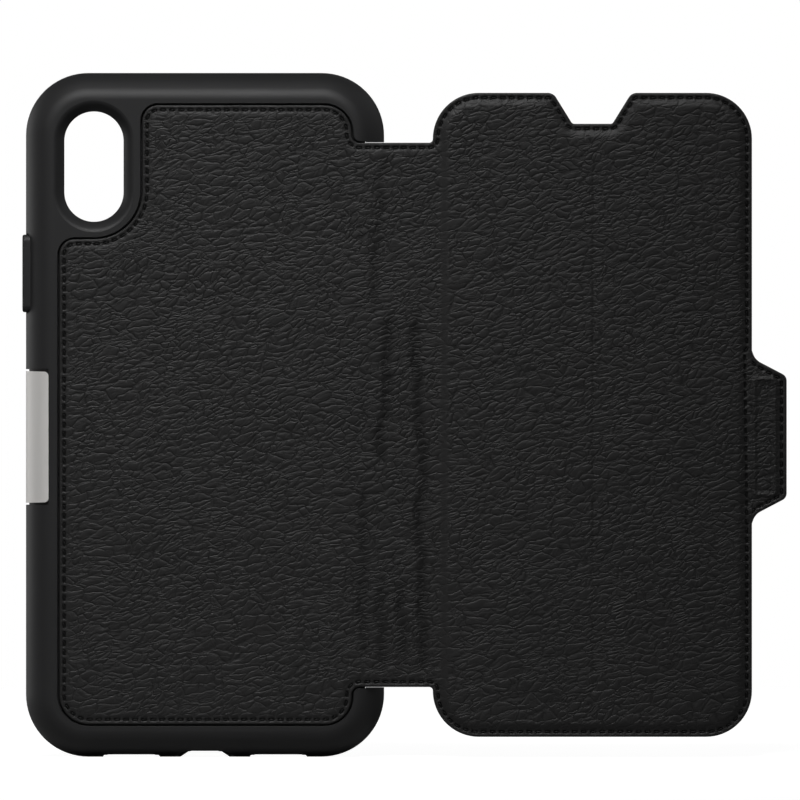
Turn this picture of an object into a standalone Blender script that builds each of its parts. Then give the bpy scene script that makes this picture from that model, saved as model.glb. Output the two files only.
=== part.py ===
"""A leather folio case for a 6.1-inch phone, opened flat with its outside to the front.

X runs across the case, from the free side of the tray towards the cover. Y is depth: the
outside faces -Y and the phone lies on the +Y side of the tray floor. Z is up. The origin is
the centre of the tray floor, where the middle of the phone's back rests. Metres.

A moulded tray grips the phone on three sides and at its corners. One sheet of leather is
let into the tray's back, leaves it along the open fourth side as a soft spine, and goes on
as the front cover, which ends in a tab with a magnet. Closed, the cover lies on the glass
inside the tray's lip, and the tab lies on the steel plate that is clipped over the rim.
"""

import math

import bmesh
import bpy
from mathutils import Matrix, Vector

MM = 0.001

# The phone that the case is made for, and the clearance round it.
PHONE_HALF_WIDTH = 37.85 * MM
PHONE_HALF_HEIGHT = 75.45 * MM
PHONE_DEPTH = 8.3 * MM
PHONE_CORNER = 11.25 * MM
PHONE_CLEARANCE = 0.15 * MM

# The tray: outer size, where its back and its lip lie, and how its edges are rounded.
TRAY_HALF_WIDTH = 41.33 * MM
TRAY_HALF_HEIGHT = 78.9 * MM
TRAY_CORNER = 14.4 * MM
TRAY_BACK = -3.0 * MM
TRAY_FRONT = 9.2 * MM
CREST_WIDTH = 6.4 * MM
CREST_ROUND = 4.1 * MM
CREST_TURN = math.radians(41)
LIP_ROUND = 1.3 * MM
FLOOR_FILLET = 1.6 * MM
LIP_START = 7.3 * MM

# Sheets, as [outer face, inner face] in Y. Bonded plies keep a small gap to each other.
LEATHER = (-2.8 * MM, -1.9 * MM)
BACKING = (-1.65 * MM, -1.15 * MM)
BOARD = (-1.65 * MM, -0.85 * MM)
LINING = (-0.6 * MM, -0.2 * MM)
POCKET_UNDER = (0.05 * MM, 0.45 * MM)
POCKET_OVER = (0.7 * MM, 1.1 * MM)
MAGNET = (-1.65 * MM, -0.65 * MM)
TAB_LINING = (-0.4 * MM, 0.0 * MM)
RECESS_FLOOR = -0.9 * MM
PIECE_GAP = 0.3 * MM
PLY_GAP = 0.25 * MM

# Folds, across X. Both long folds turn about FOLD_Y, close to the lining.
SPINE_FOLD_X = 38.51 * MM
COVER_FOLD_X = 50.75 * MM
FOLD_Y = -1.3 * MM
TAB_FOLD_X = 126.4 * MM
TAB_FOLD_Y = -2.35 * MM
SPINE_HALF_HEIGHT = 62.6 * MM
OPEN_SIDE_HALF_HEIGHT = 62.95 * MM
FOLD_START = 1.5 * MM
FOLD_END = 1.8 * MM

# The cover, its notch for the earpiece, and the card pocket on its inside.
COVER_LEFT = 52.55 * MM
COVER_RIGHT = 125.96 * MM
COVER_HALF_HEIGHT = 74.07 * MM
COVER_CORNER = 10.55 * MM
NOTCH_HALF_TOP = 9.0 * MM
NOTCH_HALF_FOOT = 4.6 * MM
NOTCH_FOOT_Z = 66.95 * MM
NOTCH_TOP_ROUND = 2.3 * MM
NOTCH_FOOT_ROUND = 0.9 * MM
BOARD_INSET = 2.4 * MM
POCKET_LEFT = 54.4 * MM
POCKET_MOUTH = 89.6 * MM
POCKET_STEP = 6.0 * MM
POCKET_TOP = 58.1 * MM
POCKET_FOOT = -64.2 * MM

# The tab and the steel plate share one height.
LATCH_Z = -5.1 * MM
TAB_HALF_ROOT = 18.8 * MM
TAB_HALF_FOLD = 17.8 * MM
TAB_CORNER = (133.95 * MM, 14.0 * MM, 1.8 * MM)
TAB_SETBACK = 0.6 * MM
MAGNET_LEFT = 127.2 * MM
MAGNET_RIGHT = 131.4 * MM
MAGNET_HALF_HEIGHT = 13.2 * MM
PLATE_HALF_HEIGHT = 15.35 * MM
PLATE_THICKNESS = 0.5 * MM
PLATE_START = math.radians(12.7)

# The camera hole and its dished edge.
CAMERA_X = -25.46 * MM
CAMERA_Z = 57.15 * MM
CAMERA_HALF_WIDTH = 6.82 * MM
CAMERA_HALF_HEIGHT = 12.7 * MM
CAMERA_DISH_WIDTH = 2.3 * MM
CAMERA_DISH_FOOT = -1.5 * MM

# The key cover on the free side, which travels inwards.
KEY_Z = 32.6 * MM
KEY_Y = 3.9 * MM
KEY_HALF_LENGTH = 8.95 * MM
KEY_HALF_DEPTH = 2.4 * MM
KEY_PROUD = 0.7 * MM
KEY_FLANGE = 0.9 * MM
KEY_FLANGE_OUTER = -39.3 * MM
KEY_FLANGE_INNER = -38.5 * MM
KEY_POCKET_FLOOR = -39.6 * MM

ARC_STEP = math.radians(15)
PILL = 0.999


def rounded(corners):
    """The closed outline through corners (u, v, radius), each turned by an arc of its radius."""
    points = []
    for i, (u, v, radius) in enumerate(corners):
        corner = Vector((u, v))
        if radius == 0:
            points.append(corner)
            continue
        before = (Vector(corners[i - 1][:2]) - corner).normalized()
        after = (Vector(corners[(i + 1) % len(corners)][:2]) - corner).normalized()
        half = before.angle(after) / 2
        centre = corner + (before + after).normalized() * radius / math.sin(half)
        start = corner + before * radius / math.tan(half) - centre
        end = corner + after * radius / math.tan(half) - centre
        first = math.atan2(start.y, start.x)
        turn = math.remainder(math.atan2(end.y, end.x) - first, 2 * math.pi)
        steps = max(2, round(abs(turn) / ARC_STEP))
        for k in range(steps + 1):
            angle = first + turn * k / steps
            points.append(centre + radius * Vector((math.cos(angle), math.sin(angle))))
    return points


def rounded_box(u, v, half_u, half_v, radius):
    """A rounded rectangle about (u, v)."""
    return rounded(
        [
            (u - half_u, v - half_v, radius),
            (u + half_u, v - half_v, radius),
            (u + half_u, v + half_v, radius),
            (u - half_u, v + half_v, radius),
        ]
    )


def add_object(name, mesh, home):
    piece = bpy.data.objects.new(name, mesh)
    home.objects.link(piece)
    return piece


# Where an outline's two directions and its depth point, for a prism along each axis.
PRISM_TURN = {
    "X": Matrix(((0, 0, 1), (1, 0, 0), (0, 1, 0))),
    "Y": Matrix(((1, 0, 0), (0, 0, -1), (0, 1, 0))),
    "Z": Matrix.Identity(3),
}


def prism(name, outline, axis, low, high, home):
    """The outline run along an axis from low to high. Along Y it is drawn in X and Z, along X
    in Y and Z, and along Z in X and Y."""
    curve = bpy.data.curves.new(name, "CURVE")
    curve.dimensions = "2D"
    curve.fill_mode = "BOTH"
    curve.extrude = (high - low) / 2
    spline = curve.splines.new("POLY")
    spline.points.add(len(outline) - 1)
    for point, (u, v) in zip(spline.points, outline):
        point.co = (u, v, 0, 1)
    spline.use_cyclic_u = True
    drawn = add_object(name + "_outline", curve, home)
    graph = bpy.context.evaluated_depsgraph_get()
    mesh = bpy.data.meshes.new_from_object(drawn.evaluated_get(graph))
    bpy.data.objects.remove(drawn)
    bpy.data.curves.remove(curve)
    middle = {"X": Vector((1, 0, 0)), "Y": Vector((0, 1, 0)), "Z": Vector((0, 0, 1))}[axis]
    place = Matrix.Translation(middle * (low + high) / 2) @ PRISM_TURN[axis].to_4x4()
    mesh.transform(place)
    tidy(mesh)
    mesh.name = name
    return add_object(name, mesh, home)


def loft(name, rings, home):
    """A closed body through rings of as many points each, given as (y, outline in X and Z)."""
    made = bmesh.new()
    loops = [[made.verts.new((u, y, v)) for u, v in outline] for y, outline in rings]
    for lower, upper in zip(loops, loops[1:]):
        for k in range(len(lower)):
            made.faces.new((lower[k - 1], lower[k], upper[k], upper[k - 1]))
    made.faces.new(loops[0])
    made.faces.new(loops[-1])
    mesh = bpy.data.meshes.new(name)
    made.to_mesh(mesh)
    made.free()
    tidy(mesh)
    return add_object(name, mesh, home)


def tidy(mesh):
    """Joins the points that meet, and turns every face outwards."""
    edit = bmesh.new()
    edit.from_mesh(mesh)
    bmesh.ops.remove_doubles(edit, verts=edit.verts, dist=1e-7)
    bmesh.ops.recalc_face_normals(edit, faces=edit.faces)
    edit.to_mesh(mesh)
    edit.free()


def boolean(piece, cutter, operation="DIFFERENCE"):
    """Adds an exact Boolean, and hides the cutter as a wire helper."""
    cutter.hide_render = True
    cutter.display_type = "WIRE"
    step = piece.modifiers.new(cutter.name, "BOOLEAN")
    step.operation = operation
    step.object = cutter
    step.solver = "EXACT"


def finish(piece, material, parent=None):
    """Gives a piece its material, a smooth look on its round faces, and its joint's empty."""
    piece.data.materials.clear()
    piece.data.materials.append(material)
    piece.data.shade_smooth()
    piece.data.set_sharp_from_angle(angle=math.radians(30))
    if parent:
        piece.parent = parent
        piece.matrix_parent_inverse = parent.matrix_world.inverted()


def plain_material(name, colour, roughness, metallic=0.0):
    material = bpy.data.materials.new(name)
    material.use_nodes = True
    shader = material.node_tree.nodes["Principled BSDF"]
    shader.inputs["Base Color"].default_value = (*colour, 1)
    shader.inputs["Roughness"].default_value = roughness
    shader.inputs["Metallic"].default_value = metallic
    material.diffuse_color = (*colour, 1)
    return material


def joint_empty(name, place, home, parent=None):
    """An empty on a joint's axis, which the moving pieces hang from."""
    empty = bpy.data.objects.new(name, None)
    empty.empty_display_size = 5 * MM
    empty.location = place
    home.objects.link(empty)
    bpy.context.view_layer.update()
    if parent:
        empty.parent = parent
        empty.matrix_parent_inverse = parent.matrix_world.inverted()
        bpy.context.view_layer.update()
    return empty


def tray_ring(inset):
    return rounded_box(
        0, 0, TRAY_HALF_WIDTH - inset, TRAY_HALF_HEIGHT - inset, TRAY_CORNER - inset
    )


def phone_ring(inset):
    clear = PHONE_CLEARANCE - inset
    return rounded_box(
        0, 0, PHONE_HALF_WIDTH + clear, PHONE_HALF_HEIGHT + clear, PHONE_CORNER + clear
    )


def quarter(count):
    """Angles of a quarter turn, in count steps."""
    return [math.pi / 2 * k / count for k in range(count + 1)]


def panel_outline(grow):
    """The leather let into the tray's back, round the camera, grown by grow on every side
    but the one where it runs on into the spine."""
    top, side = 71.27 * MM + grow, 33.96 * MM + grow
    free_side, camera_side = -33.43 * MM - grow, -14.34 * MM - grow
    under_camera = 40.46 * MM + grow
    edge = SPINE_HALF_HEIGHT + grow
    end = SPINE_FOLD_X - FOLD_START + (10 * MM if grow else 0)
    outer, flare = 6.44 * MM + grow, 1.8 * MM - grow
    return rounded(
        [
            (camera_side, top, 3.7 * MM + grow),
            (side, top, outer),
            (side, edge, flare),
            (end, edge, 0),
            (end, -edge, 0),
            (side, -edge, flare),
            (side, -top, outer),
            (free_side, -top, 6.9 * MM + grow),
            (free_side, under_camera, 3.7 * MM + grow),
            (camera_side, under_camera, 11.04 * MM - grow),
        ]
    )


def cover_outline(inset=0.0):
    """The front cover with its notch, drawn in by inset."""
    middle = (COVER_LEFT + COVER_RIGHT) / 2
    left, right = COVER_LEFT + inset, COVER_RIGHT - inset
    top, foot = COVER_HALF_HEIGHT - inset, NOTCH_FOOT_Z - inset
    corner = COVER_CORNER - inset
    wide, narrow = NOTCH_HALF_TOP + inset / 2, NOTCH_HALF_FOOT + inset / 2
    return rounded(
        [
            (left, top, corner),
            (middle - wide, top, NOTCH_TOP_ROUND),
            (middle - narrow, foot, NOTCH_FOOT_ROUND),
            (middle + narrow, foot, NOTCH_FOOT_ROUND),
            (middle + wide, top, NOTCH_TOP_ROUND),
            (right, top, corner),
            (right, -top, corner),
            (left, -top, corner),
        ]
    )


def strip_outline(left, right, half_height):
    return rounded_box((left + right) / 2, 0, (right - left) / 2, half_height, 0)


def tab_outline():
    """The tab beyond its fold: slanted shoulders and a straight tip."""
    left = TAB_FOLD_X + TAB_SETBACK
    upper = [(left, TAB_HALF_FOLD, 0), TAB_CORNER]
    lower = [(x, -half_height, radius) for x, half_height, radius in reversed(upper)]
    return rounded([(x, LATCH_Z + z, radius) for x, z, radius in upper + lower])


def shoulder(start, depth=0.0):
    """The rim's outer surface from the back round to its full width, as (Y, inset) points,
    sunk in by depth: a tight crest beside the flat back, then one long curve."""
    side_round = (CREST_WIDTH - CREST_ROUND * math.sin(CREST_TURN)) / (1 - math.sin(CREST_TURN))
    points = []
    for k in range(9):
        turn = start + (math.pi / 2 - start) * k / 8
        if turn < CREST_TURN:
            inset = CREST_WIDTH - CREST_ROUND * math.sin(turn)
            fall = CREST_ROUND * (1 - math.cos(turn))
        else:
            inset = side_round * (1 - math.sin(turn))
            fall = CREST_ROUND * (1 - math.cos(CREST_TURN))
            fall += side_round * (math.cos(CREST_TURN) - math.cos(turn))
        points.append((TRAY_BACK + fall + depth * math.cos(turn), inset + depth * math.sin(turn)))
    return points


def rim_section(depth):
    """The rim's outer surface on the free side, in X and Y, sunk into the rim by depth: over
    the back shoulder, up the side and over the lip."""
    lip_x, lip_y = -TRAY_HALF_WIDTH + LIP_ROUND, TRAY_FRONT - LIP_ROUND
    points = [(-TRAY_HALF_WIDTH + inset, y) for y, inset in shoulder(PLATE_START, depth)]
    points += [
        (
            lip_x - (LIP_ROUND - depth) * math.cos(angle),
            lip_y + (LIP_ROUND - depth) * math.sin(angle),
        )
        for angle in quarter(3)
    ]
    return points + [(-37.6 * MM, TRAY_FRONT - depth)]


def plate_block(name, outer, inner, grow, home):
    """The shape between two depths of the rim, cut to the plate's rounded height."""
    section = rim_section(outer) + rim_section(inner)[::-1]
    half_height = PLATE_HALF_HEIGHT + grow
    return prism(name, section, "Z", LATCH_Z - half_height, LATCH_Z + half_height, home)


def make_tray(home, cutters, material):
    """The moulded tray: rounded shoulder, phone hollow with a retaining lip, recess for the
    leather, an open side for the spine, and every hole."""
    front = [
        (TRAY_FRONT - LIP_ROUND * (1 - math.sin(angle)), LIP_ROUND * (1 - math.cos(angle)))
        for angle in quarter(3)
    ]
    tray = loft("tray_shell", [(y, tray_ring(inset)) for y, inset in shoulder(0) + front], home)

    lip = PHONE_CLEARANCE + 0.8 * MM
    floor = [
        (FLOOR_FILLET * (1 - math.sin(angle)), FLOOR_FILLET * (1 - math.cos(angle)))
        for angle in quarter(3)[::-1]
    ]
    hollow = floor + [(LIP_START, 0), (PHONE_DEPTH, lip), (TRAY_FRONT + 1 * MM, lip)]
    boolean(tray, loft("phone_hollow", [(y, phone_ring(i)) for y, i in hollow], cutters))

    open_left = SPINE_FOLD_X - FOLD_START
    open_side = strip_outline(open_left, open_left + 10 * MM, OPEN_SIDE_HALF_HEIGHT)
    boolean(tray, prism("spine_side", open_side, "Y", -5 * MM, 12 * MM, cutters))
    recess = prism(
        "leather_recess", panel_outline(PIECE_GAP), "Y", -5 * MM, RECESS_FLOOR, cutters
    )
    boolean(tray, recess)

    hole = (CAMERA_X, CAMERA_Z, CAMERA_HALF_WIDTH, CAMERA_HALF_HEIGHT)
    pill = rounded_box(*hole, CAMERA_HALF_WIDTH * PILL)
    boolean(tray, prism("camera_hole", pill, "Y", -5 * MM, 1 * MM, cutters))
    dish = []
    for y, grow in ((CAMERA_DISH_FOOT, 0.02 * MM), (TRAY_BACK - 0.6 * MM, 1.45 * CAMERA_DISH_WIDTH)):
        half_width, half_height = CAMERA_HALF_WIDTH + grow, CAMERA_HALF_HEIGHT + grow
        ring = rounded_box(CAMERA_X, CAMERA_Z, half_width, half_height, half_width * PILL)
        dish.append((y, ring))
    boolean(tray, loft("camera_dish", dish, cutters))

    foot = -TRAY_HALF_HEIGHT
    port = rounded_box(0, 4.15 * MM, 6.6 * MM, 3.3 * MM, 3.2 * MM)
    boolean(tray, prism("port_hole", port, "Z", foot - 1 * MM, foot + 6 * MM, cutters))
    port_dip = rounded(
        [
            (-8.0 * MM, foot - 1.5 * MM, 0),
            (-3.3 * MM, foot + 1.5 * MM, 1.5 * MM),
            (3.3 * MM, foot + 1.5 * MM, 1.5 * MM),
            (8.0 * MM, foot - 1.5 * MM, 0),
        ]
    )
    boolean(tray, prism("port_dip", port_dip, "Y", -5 * MM, 12 * MM, cutters))
    for side, word in ((-1, "left"), (1, "right")):
        middle = side * 16.95 * MM
        slot = rounded_box(middle, 4.15 * MM, 5.9 * MM, 2.5 * MM, 2.4 * MM)
        boolean(
            tray, prism(f"{word}_speaker_hole", slot, "Z", foot - 1 * MM, foot + 6 * MM, cutters)
        )
        dip = rounded_box(middle, foot, 6.55 * MM, 0.5 * MM, 0.45 * MM)
        boolean(tray, prism(f"{word}_speaker_dip", dip, "Y", -5 * MM, 12 * MM, cutters))

    slot = rounded_box(
        KEY_Y, KEY_Z, KEY_HALF_DEPTH + PIECE_GAP, KEY_HALF_LENGTH + PIECE_GAP, 1.9 * MM
    )
    boolean(tray, prism("key_slot", slot, "X", -45 * MM, -37 * MM, cutters))
    grow = KEY_FLANGE + PIECE_GAP
    seat = rounded_box(KEY_Y, KEY_Z, KEY_HALF_DEPTH + grow, KEY_HALF_LENGTH + grow, 1.0 * MM)
    boolean(tray, prism("key_seat", seat, "X", KEY_POCKET_FLOOR, -36.5 * MM, cutters))

    seat = plate_block("plate_seat", -1 * MM, PLATE_THICKNESS + PLY_GAP, PIECE_GAP, cutters)
    boolean(tray, seat)
    finish(tray, material)
    return tray


def make_plate(home, material):
    """The steel plate that the tab's magnet holds to, formed round the rim."""
    finish(plate_block("latch_plate", 0, PLATE_THICKNESS, 0, home), material)


def make_key(home, cutters, material, parent):
    """The key cover: a head that stands out of the slot, and a flange that keeps it in."""
    head = rounded_box(KEY_Y, KEY_Z, KEY_HALF_DEPTH, KEY_HALF_LENGTH, 1.6 * MM)
    outer = -TRAY_HALF_WIDTH - KEY_PROUD
    key = prism("side_key_cover", head, "X", outer, KEY_FLANGE_OUTER + 0.1 * MM, home)
    flange = rounded_box(
        KEY_Y, KEY_Z, KEY_HALF_DEPTH + KEY_FLANGE, KEY_HALF_LENGTH + KEY_FLANGE, 0.8 * MM
    )
    boolean(
        key,
        prism("key_flange", flange, "X", KEY_FLANGE_OUTER, KEY_FLANGE_INNER, cutters),
        "UNION",
    )
    finish(key, material, parent)


def make_ply(name, outline, faces, home, material, parent=None):
    """A flat sheet between two faces in Y."""
    finish(prism(name, outline, "Y", *faces, home), material, parent)


def pocket_outline(mouth):
    return rounded(
        [
            (POCKET_LEFT, POCKET_TOP, 3 * MM),
            (mouth, POCKET_TOP, 0),
            (mouth, POCKET_FOOT, 0),
            (POCKET_LEFT, POCKET_FOOT, 3 * MM),
        ]
    )


for old in list(bpy.data.objects):
    bpy.data.objects.remove(old)
parts = bpy.data.collections.new("phone_wallet_case")
cutters = bpy.data.collections.new("cutters")
for collection in (parts, cutters):
    bpy.context.scene.collection.children.link(collection)

polycarbonate = plain_material("moulded_polycarbonate", (0.018, 0.018, 0.019), 0.42)
leather = plain_material("grained_leather", (0.02, 0.019, 0.019), 0.55)
microfibre = plain_material("microfibre_lining", (0.035, 0.034, 0.034), 0.9)
fibreboard = plain_material("fibreboard", (0.09, 0.075, 0.06), 0.85)
steel = plain_material("satin_steel", (0.6, 0.59, 0.58), 0.32, 1.0)
nickel = plain_material("nickel_plated_magnet", (0.66, 0.63, 0.58), 0.25, 1.0)

spine_axis = joint_empty("spine_hinge_axis", (SPINE_FOLD_X, FOLD_Y, 0), parts)
cover_axis = joint_empty("cover_hinge_axis", (COVER_FOLD_X, FOLD_Y, 0), parts, spine_axis)
tab_axis = joint_empty("tab_hinge_axis", (TAB_FOLD_X, TAB_FOLD_Y, LATCH_Z), parts, cover_axis)
key_axis = joint_empty("side_key_axis", (-TRAY_HALF_WIDTH, KEY_Y, KEY_Z), parts)

make_tray(parts, cutters, polycarbonate)
make_plate(parts, steel)
make_key(parts, cutters, polycarbonate, key_axis)

panel = panel_outline(0)
make_ply("back_panel_leather", panel, LEATHER, parts, leather)
make_ply("panel_backing", panel, BACKING, parts, microfibre)

spine_left, spine_right = SPINE_FOLD_X + FOLD_END, COVER_FOLD_X - FOLD_START
spine = strip_outline(spine_left, spine_right, SPINE_HALF_HEIGHT)
make_ply("spine_leather", spine, LEATHER, parts, leather, spine_axis)
make_ply("spine_lining", spine, BACKING, parts, microfibre, spine_axis)

cover = cover_outline()
make_ply("cover_leather", cover, LEATHER, parts, leather, cover_axis)
make_ply("cover_board", cover_outline(BOARD_INSET), BOARD, parts, fibreboard, cover_axis)
make_ply("cover_lining", cover, LINING, parts, microfibre, cover_axis)
for name, mouth, faces in (
    ("card_pocket_under", POCKET_MOUTH + POCKET_STEP, POCKET_UNDER),
    ("card_pocket_over", POCKET_MOUTH, POCKET_OVER),
):
    make_ply(name, pocket_outline(mouth), faces, parts, leather, cover_axis)

tab = tab_outline()
make_ply("tab_leather", tab, LEATHER, parts, leather, tab_axis)
make_ply("tab_lining", tab, TAB_LINING, parts, microfibre, tab_axis)
magnet = rounded_box(
    (MAGNET_LEFT + MAGNET_RIGHT) / 2,
    LATCH_Z,
    (MAGNET_RIGHT - MAGNET_LEFT) / 2,
    MAGNET_HALF_HEIGHT,
    0.8 * MM,
)
make_ply("tab_magnet", magnet, MAGNET, parts, nickel, tab_axis)

# The sheets are whole across each fold. A fold's stretch is a strip of its own, because it
# bends while the stretches on each side of it turn.
tab_root = rounded_box(
    (COVER_RIGHT + TAB_FOLD_X + TAB_SETBACK) / 2,
    LATCH_Z,
    (TAB_FOLD_X + TAB_SETBACK - COVER_RIGHT) / 2 - PLY_GAP,
    TAB_HALF_ROOT,
    0,
)
folds = (
    ("spine_fold", SPINE_FOLD_X - FOLD_START, spine_left, spine_axis),
    ("cover_fold", spine_right, COVER_LEFT, cover_axis),
)
for name, left, right, axis in folds:
    strip = strip_outline(left + PLY_GAP, right - PLY_GAP, SPINE_HALF_HEIGHT)
    make_ply(f"{name}_leather", strip, LEATHER, parts, leather, axis)
    make_ply(f"{name}_lining", strip, BACKING, parts, microfibre, axis)
make_ply("tab_fold_leather", tab_root, LEATHER, parts, leather, tab_axis)
make_ply("tab_fold_lining", tab_root, TAB_LINING, parts, microfibre, tab_axis)
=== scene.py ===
"""The looks of a leather folio case for a 6.1-inch phone, opened flat with its outside to
the front. Metres; X runs across the case, Y is depth with the outside facing -Y, Z is up."""
import math

import bmesh
import bpy
import numpy as np
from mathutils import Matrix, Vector
from mathutils.geometry import delaunay_2d_cdt
from mathutils.kdtree import KDTree


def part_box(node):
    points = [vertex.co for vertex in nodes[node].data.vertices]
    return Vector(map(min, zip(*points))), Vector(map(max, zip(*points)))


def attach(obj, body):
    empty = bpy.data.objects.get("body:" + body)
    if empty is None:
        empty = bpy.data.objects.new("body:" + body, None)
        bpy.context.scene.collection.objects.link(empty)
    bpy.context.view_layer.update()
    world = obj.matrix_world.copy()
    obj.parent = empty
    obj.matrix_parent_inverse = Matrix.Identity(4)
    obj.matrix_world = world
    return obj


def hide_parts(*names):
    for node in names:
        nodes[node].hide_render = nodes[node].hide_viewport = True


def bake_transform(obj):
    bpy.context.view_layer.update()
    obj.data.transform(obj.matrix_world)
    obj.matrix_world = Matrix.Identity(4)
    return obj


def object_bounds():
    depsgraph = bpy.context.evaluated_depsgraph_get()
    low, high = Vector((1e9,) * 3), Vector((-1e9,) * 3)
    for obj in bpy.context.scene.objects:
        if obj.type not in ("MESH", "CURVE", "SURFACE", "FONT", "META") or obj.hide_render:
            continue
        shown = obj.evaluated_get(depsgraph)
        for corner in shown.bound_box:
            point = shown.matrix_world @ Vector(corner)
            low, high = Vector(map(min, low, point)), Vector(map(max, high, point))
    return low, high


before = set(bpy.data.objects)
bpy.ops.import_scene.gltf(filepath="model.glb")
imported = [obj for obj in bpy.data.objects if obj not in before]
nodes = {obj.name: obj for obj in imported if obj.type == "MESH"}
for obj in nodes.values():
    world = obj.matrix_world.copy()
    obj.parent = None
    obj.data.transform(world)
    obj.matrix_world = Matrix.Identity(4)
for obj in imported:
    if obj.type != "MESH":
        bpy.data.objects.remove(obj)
cad_low, cad_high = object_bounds()

# ---------------------------------------------------------------------------------------
# The studio: a pale floor under the case, a pale surround that is brighter to the sides, and
# a long camera straight in front of the open case. A narrow-beamed soft light hangs high in
# front, a weak one stands at the left, and two stand behind the case.

MM = 0.001
VIEW_WIDTH = 184 * MM
VIEW_CENTRE = Vector((45.0, -2.8, 3.42)) * MM
CAMERA_DISTANCE = 2.5
SENSOR = 36.0
FRONT_GLOW, SIDE_GLOW = 0.05, 0.24


def linear(hex_colour):
    """An sRGB hex colour as linear values, with alpha."""
    values = [int(hex_colour[i : i + 2], 16) / 255 for i in (1, 3, 5)]
    return (*[v / 12.92 if v <= 0.04045 else ((v + 0.055) / 1.055) ** 2.4 for v in values], 1.0)


def add(tree, kind, inputs=(), **settings):
    """Adds a node with its settings, and links or sets its inputs by name or number."""
    node = tree.nodes.new(kind)
    for name, value in settings.items():
        setattr(node, name, value)
    for name, value in dict(inputs).items():
        if isinstance(value, bpy.types.NodeSocket):
            tree.links.new(value, node.inputs[name])
        else:
            node.inputs[name].default_value = value
    return node


def new_material(name):
    """An empty node material, with its tree and its output."""
    material = bpy.data.materials.new(name)
    material.use_nodes = True
    material.node_tree.nodes.clear()
    return material, material.node_tree, add(material.node_tree, "ShaderNodeOutputMaterial")


def soft_light(name, place, size, power, target=VIEW_CENTRE, spread=math.pi):
    """A square light that faces a target, by default the middle of the case."""
    light = bpy.data.lights.new(name, "AREA")
    light.shape, light.size, light.energy, light.spread = "SQUARE", size, power, spread
    lamp = bpy.data.objects.new(name, light)
    lamp.location = place
    lamp.rotation_euler = (Vector(target) - Vector(place)).to_track_quat("-Z", "Y").to_euler()
    bpy.context.scene.collection.objects.link(lamp)


camera_data = bpy.data.cameras.new("camera")
camera_data.sensor_width = SENSOR
camera_data.lens = SENSOR * CAMERA_DISTANCE / VIEW_WIDTH
camera = bpy.data.objects.new("camera", camera_data)
camera.location = VIEW_CENTRE - Vector((0, CAMERA_DISTANCE, 0))
camera.rotation_euler = (math.pi / 2, 0, 0)
bpy.context.scene.collection.objects.link(camera)
bpy.context.scene.camera = camera
bpy.context.scene.view_settings.view_transform = "Standard"

world = bpy.data.worlds.new("pale surround")
world.use_nodes = True
sky = world.node_tree
sky.nodes.clear()
seen = add(sky, "ShaderNodeBackground", {"Color": linear("#ffffff"), "Strength": 1.0})
way = add(sky, "ShaderNodeTexCoord")
turned = add(sky, "ShaderNodeSeparateXYZ", {0: way.outputs["Generated"]})
sideways = add(sky, "ShaderNodeMath", {0: turned.outputs[0]}, operation="ABSOLUTE")
side_glow = add(
    sky,
    "ShaderNodeMapRange",
    {0: sideways.outputs[0], 1: 0.4, 2: 0.9, 3: FRONT_GLOW, 4: SIDE_GLOW},
)
given = add(
    sky,
    "ShaderNodeBackground",
    {"Color": linear("#ffffff"), "Strength": side_glow.outputs[0]},
)
ray = add(sky, "ShaderNodeLightPath")
shown = add(
    sky,
    "ShaderNodeMixShader",
    {0: ray.outputs["Is Camera Ray"], 1: given.outputs[0], 2: seen.outputs[0]},
)
add(sky, "ShaderNodeOutputWorld", {0: shown.outputs[0]})
bpy.context.scene.world = world

BEAM = math.radians(50)
soft_light("high front light", (-0.06, -0.42, 0.5), 0.28, 0.33, (-0.03, 0, 0.03), BEAM)
soft_light("left light", (-1.0, -0.55, 0.1), 0.7, 0.3)
soft_light("rear left light", (-0.9, 0.85, 0.1), 0.6, 1.8)
soft_light("rear right light", (1.1, 0.75, 0.9), 0.6, 0.4)

bpy.ops.mesh.primitive_circle_add(
    vertices=96, radius=0.6, fill_type="NGON", location=(0.045, 0, cad_low.z)
)
floor = bpy.context.object
floor.name = "floor"
material, tree, output = new_material("white painted board, matt")
paint = add(tree, "ShaderNodeBsdfPrincipled", {"Base Color": linear("#9c9c9c"), "Roughness": 0.9})
glow = add(tree, "ShaderNodeEmission", {"Color": linear("#ffffff"), "Strength": 0.94})
ray = add(tree, "ShaderNodeLightPath")
dark = add(tree, "ShaderNodeEmission", {"Strength": 0.0})
lift = add(
    tree,
    "ShaderNodeMixShader",
    {0: ray.outputs["Is Camera Ray"], 1: dark.outputs[0], 2: glow.outputs[0]},
)
lit = add(tree, "ShaderNodeAddShader", {0: paint.outputs[0], 1: lift.outputs[0]})
tree.links.new(lit.outputs[0], output.inputs[0])
floor.data.materials.append(material)

# ---------------------------------------------------------------------------------------
# The tray: one injection moulding in black polycarbonate. Its back edge is a broad rounded
# shoulder, its lip holds the phone's glass, and the leather lies in a recess in its back.

ARC_STEP = math.radians(5)
TRAY_HALF = (41.33 * MM, 78.9 * MM)
TRAY_CORNER = 14.4 * MM
TRAY_BACK, TRAY_FRONT = -3.0 * MM, 9.2 * MM
CREST_WIDTH, CREST_ROUND, CREST_TURN = 6.4 * MM, 4.1 * MM, math.radians(41)
LIP_ROUND = 1.3 * MM
PHONE_HALF = (38.0 * MM, 75.6 * MM)
PHONE_CORNER = 11.4 * MM
FLOOR_FILLET = 1.6 * MM
LIP_START, LIP_END, LIP_OVERHANG = 7.3 * MM, 8.3 * MM, 0.95 * MM
SPINE_EDGE = 62.6 * MM
OPEN_SIDE = (37.01 * MM, 62.95 * MM)
RECESS_GROW, RECESS_FLOOR = 0.3 * MM, -0.9 * MM
CAMERA_PILL = (-25.46 * MM, 57.15 * MM, 6.82 * MM, 12.7 * MM)


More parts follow.
